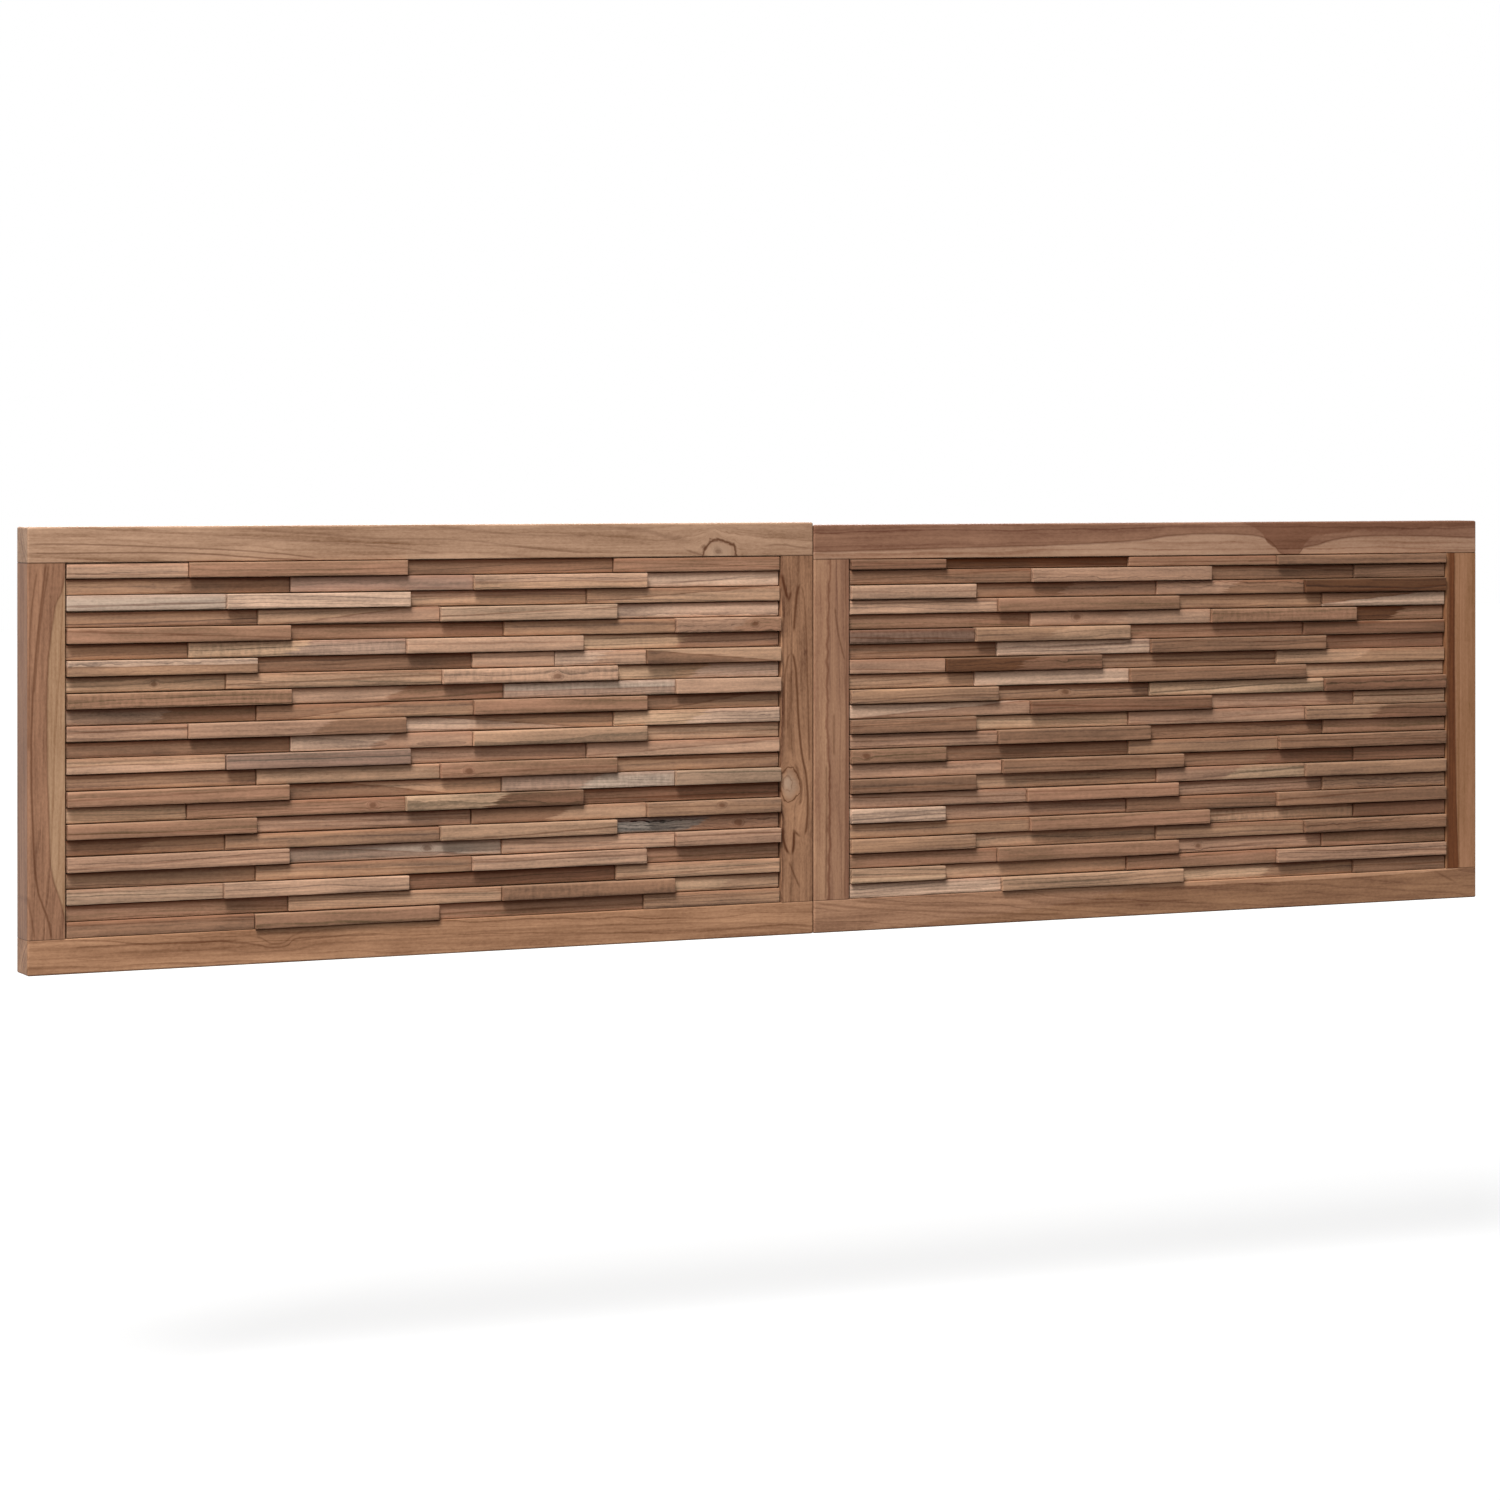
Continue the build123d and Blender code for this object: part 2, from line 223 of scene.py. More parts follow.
ring_count = add(grain_tree, "Math", {0: bands, 1: 1.2, 2: rings}, operation="MULTIPLY_ADD")
ring_share = add(grain_tree, "Math", {0: ring_count}, operation="FRACT")
ring_number = add(grain_tree, "Math", {0: ring_count}, operation="FLOOR")
ring_dice = add(grain_tree, "TexWhiteNoise", {"W": ring_number}, noise_dimensions="1D")
ring_strength = add(grain_tree, "MapRange", {0: ring_dice, 4: 0.85})
late_wood = add(grain_tree, "MapRange", {0: ring_share, 1: 0.6, 2: 1.0}, interpolation_type="SMOOTHERSTEP")
late_wood = add(grain_tree, "Math", {0: late_wood, 1: ring_strength}, operation="MULTIPLY")
stripe_gain = add(grain_tree, "Math", {0: stripe_strength, 1: 1.0}, operation="ADD")
darkness = add(grain_tree, "MapRange", {0: bands, 1: 0.32, 2: 0.68, 4: 0.7}, clamp=False)
darkness = add(grain_tree, "Math", {0: darkness, 1: late_wood}, operation="ADD")
darkness = add(grain_tree, "Math", {0: darkness, 1: stripe_gain}, operation="MULTIPLY")
saw_place = add(grain_tree, "VectorMath", {0: grain_place, 1: saw_pitch}, operation="MULTIPLY")
saw = add(grain_tree, "TexNoise", {"Vector": saw_place, "Scale": 1, "Detail": 2})
saw = add(grain_tree, "Math", {0: saw, 1: 0.5}, operation="SUBTRACT")
saw = add(grain_tree, "Math", {0: saw, 1: saw_strength}, operation="MULTIPLY")
darkness = add(grain_tree, "Math", {0: darkness, 1: saw}, operation="ADD")

# What each noise takes from the colour or adds to it, between two of its levels.
for noise_name, low, high, least, most in (
    ("fibres", 0.3, 0.7, -0.27, 0.27),
    ("patches", 0.3, 0.7, -0.38, 0.38),
    ("fuzz", 0.3, 0.7, -0.2, 0.2),
    ("pores", 0.62, 0.72, 0.0, 0.45),
):
    noise_share = add(grain_tree, "MapRange", {0: noises[noise_name], 1: low, 2: high, 3: least, 4: most})
    darkness = add(grain_tree, "Math", {0: darkness, 1: noise_share}, operation="ADD")
darkness = add(grain_tree, "Math", {0: darkness, 1: darkest_grain}, operation="MINIMUM")
grain_colour = add(
    grain_tree,
    "Mix",
    {0: darkness, 6: grain_in.outputs["Light"], 7: grain_in.outputs["Dark"]},
    data_type="RGBA",
    clamp_factor=False,
)
grain_height = add(grain_tree, "Math", {0: 1.0, 1: darkness}, operation="SUBTRACT")
grain_tree.links.new(grain_colour.outputs[2], grain_out.inputs["Color"])
grain_tree.links.new(grain_height.outputs[0], grain_out.inputs["Height"])


def new_material(name):
    """An empty node material, and its tree."""
    material = bpy.data.materials.new(name)
    material.use_nodes = True
    material.node_tree.nodes.clear()
    return material, material.node_tree


def dress(node, material):
    """Gives a frame solid its finish."""
    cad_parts[node].data.materials.clear()
    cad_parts[node].data.materials.append(material)


# A dark line shows where stiles meet rails, its width in millimetres. The grain's lines fade out at
# their ends, over a share of the board's length.
joint_shade_width = 1.0
line_fade = 0.012
member_bump = 0.2 * millimetre


def teak_member(node, tones, cut, lie, seed, upright=False, marks=(0.2, 0, 0), lines=(), knots=()):
    """Planed, oiled teak for one member: dull, with rings, darker lines and knots that show.

    Lines run along the board. Each has the tones of the wood above it or None, how soft it is, its
    darkness and width, and its points as shares along and millimetres across. Knots have a place
    along and across, a radius, and the shares of their core and rim: above 0 darkens, below pales.
    """
    material, tree = new_material(node + "_teak")
    low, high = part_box(node)
    size = high - low
    middle = (low + high) / 2
    length = max(size) / millimetre
    spot = add(tree, "TexCoord").outputs["Object"]
    centred = add(tree, "Mapping", {"Vector": spot, "Location": (-middle.x, -low.y, -middle.z)})
    turn = -math.pi / 2 if upright else 0
    turned = add(
        tree, "Mapping", {"Vector": centred, "Rotation": (0, turn, 0), "Scale": [1 / millimetre] * 3}
    )
    place = own_place = turned.outputs[0]
    board_along, _, board_across = add(tree, "SeparateXYZ", {0: own_place}).outputs
    cores, rims = [], []
    for along, across, radius, core_share, rim_share in knots:
        knot = add(
            tree,
            "Group",
            {"Place": own_place, "Flow": place, "Knot": (along, across, radius)},
            node_tree=knot_tree,
        )
        place = knot.outputs["Flow"]
        cores.append((knot.outputs["Core"], core_share))
        rims.append((knot.outputs["Rim"], rim_share))
    light, dark = linear(tones[0]), linear(tones[1])
    run = add(tree, "MapRange", {0: board_along, 1: -length / 2, 2: length / 2})
    waver = add(tree, "TexNoise", {"Vector": place, "Scale": 0.05, "Detail": 3})
    edges = []
    for layer, soft, edge_share, edge_width, line in lines:
        curve = add(tree, "FloatCurve", {1: run})
        points = curve.mapping.curves[0].points
        reach = max(abs(value) for share, value in line) * 2
        while len(points) < len(line):
            points.new(0.5, 0.5)
        for point, (share, value) in zip(points, line):
            point.location = (share, 0.5 + value / reach)
        curve.mapping.update()
        level = add(tree, "MapRange", {0: curve, 3: -reach / 2, 4: reach / 2})
        above = add(tree, "Math", {0: board_across, 1: level}, operation="SUBTRACT")
        above = add(tree, "Math", {0: waver, 1: soft * 3, 2: above}, operation="MULTIPLY_ADD")
        above = add(tree, "Math", {0: above, 1: soft * 1.5}, operation="SUBTRACT")
        if layer:
            side = add(
                tree, "MapRange", {0: above, 1: -soft / 2, 2: soft / 2}, interpolation_type="SMOOTHSTEP"
            )
            light, dark = [
                add(tree, "Mix", {0: side, 6: below, 7: linear(tone)}, data_type="RGBA").outputs[2]
                for below, tone in zip((light, dark), layer)
            ]
        edge = add(tree, "Math", {0: above}, operation="ABSOLUTE")
        edge = add(
            tree,
            "MapRange",
            {0: edge, 1: edge_width, 2: 0.0, 4: edge_share},
            interpolation_type="SMOOTHSTEP",
        )
        first, last = line[0][0], line[-1][0]
        for near, far in ((first - 0.001, first + line_fade), (last + 0.001, last - line_fade)):
            fade = add(tree, "MapRange", {0: run, 1: near, 2: far})
            edge = add(tree, "Math", {0: edge, 1: fade}, operation="MULTIPLY")
        edges.append((edge.outputs[0], 1.0))
    settings = {"Seed": seed, "Cut": cut, "Lie": lie, "Marks": marks, "Light": light, "Dark": dark}
    grain = add(tree, "Group", {"Place": place, **settings}, node_tree=grain_tree)
    colour = grain.outputs["Color"]
    for mask, share in cores + edges + rims:
        strength = add(tree, "Math", {0: mask, 1: abs(share)}, operation="MULTIPLY")
        tint = linear("#4C2713" if share > 0 else "#BFA993")
        colour = add(tree, "Mix", {0: strength, 6: colour, 7: tint}, data_type="RGBA").outputs[2]
    if upright:
        from_joint = add(tree, "Math", {0: board_along}, operation="ABSOLUTE")
        joint = add(
            tree,
            "MapRange",
            {0: from_joint, 1: length / 2 - joint_shade_width, 2: length / 2 - 0.2, 4: 0.5},
        )
        joint_tint = linear("#3A251A")
        colour = add(tree, "Mix", {0: joint, 6: colour, 7: joint_tint}, data_type="RGBA").outputs[2]
    bump = add(tree, "Bump", {"Height": grain.outputs["Height"], "Strength": 0.25, "Distance": member_bump})
    shader = add(
        tree,
        "BsdfPrincipled",
        {"Base Color": colour, "Roughness": 0.5, "IOR": 1.5, "Specular IOR Level": 0.12, "Normal": bump},
    )
    add(tree, "OutputMaterial", {"Surface": shader})
    dress(node, material)


teak_member(
    "left_top_rail",
    tones=("#AB886E", "#83624B"),
    cut=(7, 40, 60),
    lie=(-0.04, 20, 1.2),
    marks=(0.15, -0.15, 0),
    seed=1,
    lines=(
        (None, 0.3, 0.52, 1.5, (
            (0, 1), (0.05, 0.8), (0.1, -0.6), (0.16, -3), (0.23, -6), (0.29, -10), (0.35, -16),
        )),
        (None, 0.3, 0.59, 1.5, (
            (0, -8.4), (0.07, -8.6), (0.14, -8.6), (0.2, -10), (0.26, -14), (0.35, -19),
        )),
        (None, 0.5, 0.26, 1.9, ((0.22, 8), (0.33, 2), (0.41, -3), (0.5, -12))),
        (None, 0.5, 0.26, 1.9, ((0.27, 14), (0.36, 9), (0.43, 4), (0.5, 3), (0.6, -5), (0.7, -14))),
        (None, 0.5, 0.26, 1.9, ((0.5, 16), (0.56, 11), (0.64, 6), (0.7, 6))),
        (None, 2.0, 0.29, 4, ((0.73, 13), (0.77, 11), (0.8, 4), (0.83, 1))),
        (None, 0.5, 0.45, 2.3, ((0.82, -8), (0.836, -14), (0.86, -19))),
        (None, 0.5, 0.39, 1.9, ((0.93, -9), (0.95, -6), (0.97, -8), (1, -11))),
    ),
    knots=((334, -13, 14, -0.15, 0.85), (332, -13, 4, 0.5, 0.2), (315, -8, 3, 0.5, 0.3)),
)
teak_member(
    "left_bottom_rail",
    tones=("#AB8061", "#805A41"),
    cut=(6, -60, 50),
    lie=(-0.03, 20, 1.5),
    marks=(0.2, -0.1, 0),
    seed=12,
    lines=(
        (None, 0.4, 0.52, 1.7, (
            (0.05, 9), (0.2, 8.6), (0.25, 5.2), (0.28, 1.2), (0.3, -1.8), (0.314, 1.2), (0.33, 7),
            (0.43, 6),
        )),
        (None, 0.4, 0.39, 1.7, ((0.19, 13), (0.26, 12), (0.287, 5), (0.3, 2), (0.314, 8), (0.33, 13))),
        (None, 0.5, 0.26, 1.9, ((0.1, 2), (0.23, -1), (0.3, -6), (0.35, -1), (0.45, 0), (0.6, -4))),
        (None, 0.5, 0.26, 1.9, ((0.5, 4), (0.7, 3), (0.85, 0), (1, -12))),
        (None, 0.5, 0.26, 1.9, ((0.6, -4), (0.75, -6), (0.9, -8), (1, -15))),
    ),
)
teak_member(
    "left_outer_stile",
    upright=True,
    tones=("#9B7258", "#6D4B38"),
    cut=(9, -40, 30),
    lie=(-0.06, 16, 1.5),
    marks=(0.15, -0.3, 0),
    seed=3,
    lines=(
        (("#AA8769", "#886549"), 0.6, 0.42, 2.0, (
            (0, 22), (0.08, 15.6), (0.11, 10), (0.17, 6), (0.26, 2), (0.35, 0.8), (0.52, 0.8),
            (0.7, 3), (0.79, 4), (0.84, 7), (0.885, 12.7), (0.92, 17), (1, 24),
        )),
        (None, 0.4, 0.62, 2.1, (
            (0, -0.8), (0.07, -3.7), (0.15, -7.5), (0.3, -13), (0.4, -15.3), (0.56, -16),
            (0.72, -14), (0.8, -12.4), (0.86, -9.5), (0.91, -3.7), (0.95, 2), (1, 5.5),
        )),
        (None, 0.4, 0.45, 1.9, ((0, 3), (0.075, -1.7), (0.145, -5.5), (0.25, -9.5), (0.35, -13))),
        (None, 0.4, 0.45, 1.9, ((0.02, -10), (0.09, -14), (0.17, -17), (0.3, -18), (0.5, -18.5))),
        (None, 0.4, 0.39, 1.9, ((0.88, -20), (0.94, -16), (1, -12))),
    ),
)
teak_member(
    "left_inner_stile",
    upright=True,
    tones=("#A0775A", "#674633"),
    cut=(9, 30, 30),
    lie=(0.0, 14, 3),
    marks=(0.15, -0.2, 0),
    seed=4,
    lines=(
        (None, 0.4, 0.95, 3.2, ((0.05, -19.5), (0.09, -16), (0.13, -11))),
        (None, 0.4, 0.8, 2.6, ((0.1, -7.5), (0.135, -11))),
        (None, 0.4, 0.8, 3.0, ((0.08, 4.5), (0.12, -1), (0.17, -3), (0.22, -4.5))),
        (None, 0.4, 0.45, 1.9, ((0.09, 5), (0.14, 9), (0.3, 12), (0.6, 15))),
        (None, 0.4, 0.8, 2.7, (
            (0.28, -8), (0.32, -2.5), (0.38, -0.6), (0.45, 0.8), (0.52, 3), (0.59, 7),
            (0.65, 11.5), (0.72, 13), (0.77, 12), (0.81, 8.5),
        )),
        (None, 0.4, 0.59, 2.3, ((0.28, -8), (0.31, -13), (0.37, -16), (0.5, -16.5))),
        (None, 3.0, 0.39, 5, ((0.33, -8), (0.45, -9), (0.57, -8))),
        (None, 0.4, 0.95, 3.2, ((0.78, -20), (0.83, -16), (0.865, -8.5))),
        (None, 0.4, 0.95, 3.2, ((0.79, -4), (0.83, -4.5), (0.865, -8.5))),
        (None, 0.4, 0.8, 3.0, ((0.79, -4), (0.81, 2), (0.815, 8))),
        (None, 1.0, 0.52, 3, ((0.6, -3), (0.64, 2), (0.675, 5), (0.71, 4), (0.725, -2))),
        (None, 0.4, 0.59, 2.3, ((0.88, -11), (0.92, -4), (0.96, 3))),
    ),
    knots=((62, -10, 13, -0.28, 0.8), (60, -12, 6, -0.25, 0.35)),
)
teak_member(
    "right_top_rail",
    tones=("#AD8970", "#8F6A53"),
    cut=(6, -50, 50),
    lie=(0.0, 14, 1),
    marks=(0.15, -0.1, 0),
    seed=5,
    lines=(
        (("#8E6852", "#6C4837"), 0.5, 0.45, 2.1, (
            (0, -11), (0.13, -9), (0.26, -7), (0.37, -5), (0.47, -1), (0.56, 6), (0.63, 4.5),
            (0.65, 3), (0.668, -2), (0.68, -10), (0.693, -19), (0.714, -20), (0.72, -12),
            (0.745, -8), (0.775, -2), (0.82, 1.5), (0.9, 1.5), (1, -2),
        )),
        (("#7C5541", "#5F3D2B"), 3.0, 0, 1, (
            (0, 21), (0.6, 21), (0.66, 4), (0.7, -14), (0.73, -3), (0.77, 6), (1, 12),
        )),
    ),
)
teak_member(
    "right_bottom_rail",
    tones=("#9A7255", "#6F4C38"),
    cut=(6, 60, 50),
    lie=(-0.09, 20, 1.5),
    marks=(0.15, -0.3, 0),
    seed=6,
    lines=(
        (("#A77E62", "#7A5742"), 6.0, 0, 1, ((0, -19), (0.2, -12), (0.5, 24))),
        (("#BF9272", "#A0765A"), 0.8, 0.13, 2.1, ((0, 22), (0.25, 20), (0.35, 16), (0.9, 15), (1, 19))),
        (None, 0.5, 0.39, 2.3, ((0, 16), (0.08, 6), (0.16, 0), (0.25, -6), (0.36, -12))),
        (None, 0.5, 0.33, 2.3, ((0.05, 17), (0.14, 8), (0.24, 3), (0.4, -1), (0.55, -3))),
        (None, 0.5, 0.39, 2.3, ((0.93, 17), (0.95, 8), (0.97, 0))),
    ),
)
teak_member(
    "right_inner_stile",
    upright=True,
    tones=("#A88063", "#7C5542"),
    cut=(9, -40, 30),
    lie=(0.01, 16, 1.5),
    marks=(0.15, -0.35, 0),
    seed=7,
    lines=(
        (("#7F5742", "#633F2D"), 3.0, 0, 1.9, ((0, -3), (0.4, -7), (0.7, -4), (1, -6))),
        (("#9C755B", "#785442"), 2.5, 0, 1.9, ((0, 0), (0.4, -4), (0.7, -1), (1, -2))),
        (("#86604B", "#694736"), 1.0, 0.33, 1.9, ((0, 17), (0.5, 18), (1, 16))),
        (None, 0.5, 0.52, 1.9, ((0.14, 4), (0.2, 7), (0.25, 11), (0.3, 17))),
        (None, 0.5, 0.45, 2.3, ((0.45, 3), (0.5, 2.5), (0.58, 3.5))),
        (None, 0.5, 0.45, 2.3, ((0.6, -7), (0.8, -6.5), (1, -8))),
    ),
)
teak_member(
    "right_outer_stile",
    upright=True,
    tones=("#936748", "#6D462D"),
    cut=(6, 50, 60),
    lie=(0.0, 8, 1),
    seed=8,
    lines=(
        (("#6F4227", "#512C18"), 0.4, 0.39, 2.1, ((0, -17), (0.5, -17.5), (1, -19))),
        (("#A07456", "#865E3F"), 0.4, 0.39, 2.1, (
            (0, -9.5), (0.3, -9.5), (0.5, -8.5), (0.7, -7.5), (1, -3.5),
        )),
    ),
)

# Dowels. Two turned beech dowels lock each end of each stile into the rail above or below it. They
# are pressed in with glue, pale and matt with a fine straight grain, and can't be seen once the
# frame is closed. The grain is drawn about five times as coarse as it is.

beech, tree = new_material("turned_beech")
dowel_spot = add(tree, "TexCoord").outputs["Object"]
dowel_place = add(tree, "Mapping", {"Vector": dowel_spot, "Scale": (900, 900, 60)})
dowel_grain = add(tree, "TexNoise", {"Vector": dowel_place, "Scale": 1, "Detail": 3})
dowel_colour = add(
    tree, "Mix", {0: dowel_grain, 6: linear("#D3AE84"), 7: linear("#B58A5F")}, data_type="RGBA"
)
dowel_shader = add(
    tree, "BsdfPrincipled", {"Base Color": dowel_colour.outputs[2], "Roughness": 0.6, "IOR": 1.5}
)
add(tree, "OutputMaterial", {"Surface": dowel_shader})
dress("frame_dowels", beech)

# Backing boards. A sheet of birch-faced plywood closes each panel from behind. It lies in a rebate
# behind the frame's lip, sanded and left bare, so it is pale and matt, and its face shows broad
# rotary-cut grain. Its fibres are drawn about four times as coarse as they are.

plywood, tree = new_material("rotary_cut_plywood")
ply_spot = add(tree, "TexCoord").outputs["Object"]
ply_place = add(tree, "Mapping", {"Vector": ply_spot, "Scale": (0.9, 7, 7)})
ply_warp = add(tree, "TexNoise", {"Vector": ply_place, "Scale": 1, "Detail": 2})
ply_rings = add(tree, "Math", {0: ply_warp, 1: 18.0}, operation="MULTIPLY")
ply_rings = add(tree, "Math", {0: ply_rings}, operation="FRACT")
ply_lines = add(tree, "MapRange", {0: ply_rings, 4: 0.4}, interpolation_type="SMOOTHSTEP")
ply_fibre_place = add(tree, "Mapping", {"Vector": ply_spot, "Scale": (14, 700, 700)})
ply_fibres = add(tree, "TexNoise", {"Vector": ply_fibre_place, "Scale": 1, "Detail": 3})
ply_share = add(tree, "Math", {0: ply_fibres, 1: 0.7, 2: ply_lines}, operation="MULTIPLY_ADD")
ply_colour = add(tree, "Mix", {0: ply_share, 6: linear("#E2C9A4"), 7: linear("#C29C70")}, data_type="RGBA")
ply_bump = add(tree, "Bump", {"Height": ply_fibres, "Strength": 0.2, "Distance": 0.2 * millimetre})
ply_shader = add(
    tree,
    "BsdfPrincipled",
    {"Base Color": ply_colour.outputs[2], "Roughness": 0.6, "IOR": 1.5, "Normal": ply_bump},
)
add(tree, "OutputMaterial", {"Surface": ply_shader})
for node in ("left_backing_board", "right_backing_board"):
    dress(node, plywood)

# Board screws. Countersunk steel screws, yellow zinc plated, go through the board into the lip all
# round each frame. The plating leaves them a little uneven in colour and in gloss.

zinc_steel, tree = new_material("yellow_zinc_plated_steel")
screw_spot = add(tree, "TexCoord").outputs["Object"]
screw_noise = add(tree, "TexNoise", {"Vector": screw_spot, "Scale": 400, "Detail": 2})
screw_colour = add(
    tree, "Mix", {0: screw_noise, 6: linear("#C9B37A"), 7: linear("#A9A08C")}, data_type="RGBA"
)
screw_rough = add(tree, "MapRange", {0: screw_noise, 3: 0.25, 4: 0.45})
screw_shader = add(
    tree,
    "BsdfPrincipled",
    {"Base Color": screw_colour.outputs[2], "Metallic": 1.0, "Roughness": screw_rough},
)
add(tree, "OutputMaterial", {"Surface": screw_shader})
dress("board_screws", zinc_steel)

# Teak strips. Short offcuts in three thicknesses, rough on the face and eased at the arrises, glued
# to the board in rows with staggered joints. A row is one piece made by a geometry tree: a point
# for each strip carries its corner, size, tones and grain and becomes a slightly uneven block.

# Each letter is the light and the dark tone of one kind of offcut, from pale sapwood, v, to nearly
# black heartwood, x. The last three are weathered grey, g and l, and burl with blue-grey figure, q.
strip_tones = {
    "v": ("#E8C5AB", "#B49580"),
    "w": ("#D7B297", "#9D826F"),
    "y": ("#CEA787", "#957A62"),
    "k": ("#C69D81", "#917460"),
    "h": ("#C09779", "#8C705A"),
    "t": ("#B58D73", "#866855"),
    "b": ("#AC8568", "#7F624F"),
    "o": ("#B8957B", "#876F5B"),
    "r": ("#A57B62", "#7A5D47"),
    "m": ("#A2806D", "#776153"),
    "p": ("#987259", "#715543"),
    "d": ("#8B644E", "#674C3A"),
    "n": ("#806454", "#5A4437"),
    "x": ("#6B4832", "#513627"),
    "g": ("#C8AE99", "#938071"),
    "l": ("#B2917C", "#836D5D"),
    "q": ("#A49588", "#45413D"),
}

# A strip starts a little longer than its solid, because wear draws its ends in again.
strip_arris = 0.5 * millimetre
strip_edge_wear = 0.8 * millimetre
strip_end_reach = 0.35 * millimetre
most_taper = 0.9 * millimetre
thinnest_strip = 7 * millimetre
thickest_strip = 15 * millimetre
strip_points = (33, 4, 8)
end_arris_share = 0.55
nearly_half = 0.4999

strip_tree, strip_in, strip_out = new_tree(
    "teak_strip_row",
    "GeometryNodeTree",
    (
        ("Geometry", "Geometry"),
        ("Arris", "Float"),
        ("Edge Wear", "Float"),
        ("Seed", "Float"),
        ("Finish", "Material"),
    ),
    (("Geometry", "Geometry"),),
)
arris = strip_in.outputs["Arris"]
block = add(
    strip_tree,
    "GeometryNodeMeshCube",
    {"Size": (1, 1, 1), **{"Vertices " + axis: count for axis, count in zip("XYZ", strip_points)}},
)
block_place = add(strip_tree, "GeometryNodeInputPosition")
block_share = add(strip_tree, "VectorMath", {0: block_place, 1: (0.5, 0.5, 0.5)}, operation="ADD")
marked_block = add(
    strip_tree,
    "GeometryNodeStoreNamedAttribute",
    {"Geometry": block, "Name": "strip_share", "Value": block_share},
    data_type="FLOAT_VECTOR",
    domain="POINT",
)
blocks = add(
    strip_tree,
    "GeometryNodeInstanceOnPoints",
    {"Points": strip_in.outputs["Geometry"], "Instance": marked_block},
)
blocks = add(strip_tree, "GeometryNodeRealizeInstances", {"Geometry": blocks})
block_spot, strip_size, strip_corner, strip_taper = [
    add(strip_tree, "GeometryNodeInputNamedAttribute", {"Name": name}, data_type="FLOAT_VECTOR")
    for name in ("strip_share", "strip_size", "strip_corner", "strip_taper")
]
share_axes = add(strip_tree, "SeparateXYZ", {0: block_spot}).outputs
size_axes = add(strip_tree, "SeparateXYZ", {0: strip_size}).outputs

# The outer cells of a block are as narrow as its arris, and those between share what is left.
places = []
for axis, count in enumerate(strip_points):
    first_cell = 1 / (count - 1)
    arris_share = add(strip_tree, "Math", {0: arris, 1: size_axes[axis]}, operation="DIVIDE")
    far_share = add(strip_tree, "Math", {0: 1.0, 1: arris_share}, operation="SUBTRACT")
    inner = add(
        strip_tree,
        "MapRange",
        {0: share_axes[axis], 1: first_cell, 2: 1 - first_cell, 3: arris_share, 4: far_share},
    )
    from_middle = add(strip_tree, "Math", {0: share_axes[axis], 1: 0.5}, operation="SUBTRACT")
    from_middle = add(strip_tree, "Math", {0: from_middle}, operation="ABSOLUTE")
    at_end = add(strip_tree, "Math", {0: from_middle, 1: nearly_half}, operation="GREATER_THAN")
    settled = add(strip_tree, "Mix", {0: at_end, 2: inner, 3: share_axes[axis]}, data_type="FLOAT")
    places.append(add(strip_tree, "Math", {0: settled, 1: size_axes[axis]}, operation="MULTIPLY"))
square_place = add(strip_tree, "CombineXYZ", dict(enumerate(places)))

# What stands outside a core is pulled to within an arris of it, which rounds the edges. The back,
# which lies on the board, stays square.
end_arris = add(strip_tree, "Math", {0: arris, 1: end_arris_share}, operation="MULTIPLY")
low_inset = add(strip_tree, "CombineXYZ", {0: end_arris, 1: arris, 2: arris})
high_inset = add(strip_tree, "CombineXYZ", {0: end_arris, 1: 0.0, 2: arris})
high_core = add(strip_tree, "VectorMath", {0: strip_size, 1: high_inset}, operation="SUBTRACT")
strip_core = add(strip_tree, "VectorMath", {0: square_place, 1: low_inset}, operation="MAXIMUM")
strip_core = add(strip_tree, "VectorMath", {0: strip_core, 1: high_core}, operation="MINIMUM")
out_of_core = add(strip_tree, "VectorMath", {0: square_place, 1: strip_core}, operation="SUBTRACT")
core_reach = add(strip_tree, "VectorMath", {0: out_of_core}, operation="LENGTH")
core_reach = add(strip_tree, "Math", {0: core_reach.outputs["Value"], 1: arris}, operation="MAXIMUM")
core_pull = add(strip_tree, "Math", {0: arris, 1: core_reach}, operation="DIVIDE")
eased = add(strip_tree, "VectorMath", {0: out_of_core, "Scale": core_pull}, operation="SCALE")
eased_place = add(strip_tree, "VectorMath", {0: strip_core, 1: eased}, operation="ADD")

# Wear only takes wood away: it draws the long edges, the ends and the face in by uneven amounts,
# in waves that are counted in a metre. Then a taper, its own at each end, comes off the top.
wear_waves = (26, 60, 110)
wear_shares = (-1.4, -0.6, -1.3)
worn_at = add(strip_tree, "VectorMath", {0: strip_corner, 1: eased_place}, operation="ADD")
worn_at = add(
    strip_tree,
    "VectorMath",
    {0: worn_at, 1: wear_waves, 2: strip_in.outputs["Seed"]},
    operation="MULTIPLY_ADD",
)
wear = add(strip_tree, "TexNoise", {"Vector": worn_at, "Scale": 1, "Detail": 3, "Roughness": 0.65})
wear_depth = add(strip_tree, "Math", {0: wear, 1: strip_in.outputs["Edge Wear"]}, operation="MULTIPLY")
from_centre = add(strip_tree, "VectorMath", {0: block_spot, 1: (0.5, 1.0, 0.5)}, operation="SUBTRACT")
wear_way = add(strip_tree, "VectorMath", {0: from_centre, 1: wear_shares}, operation="MULTIPLY")
wear_move = add(strip_tree, "VectorMath", {0: wear_way, "Scale": wear_depth}, operation="SCALE")
worn_place = add(strip_tree, "VectorMath", {0: eased_place, 1: wear_move}, operation="ADD")
near_taper, far_taper, _ = add(strip_tree, "SeparateXYZ", {0: strip_taper}).outputs
cut_off_top = add(strip_tree, "MapRange", {0: share_axes[0], 3: near_taper, 4: far_taper})
cut_off_top = add(strip_tree, "Math", {0: cut_off_top, 1: share_axes[2]}, operation="MULTIPLY")
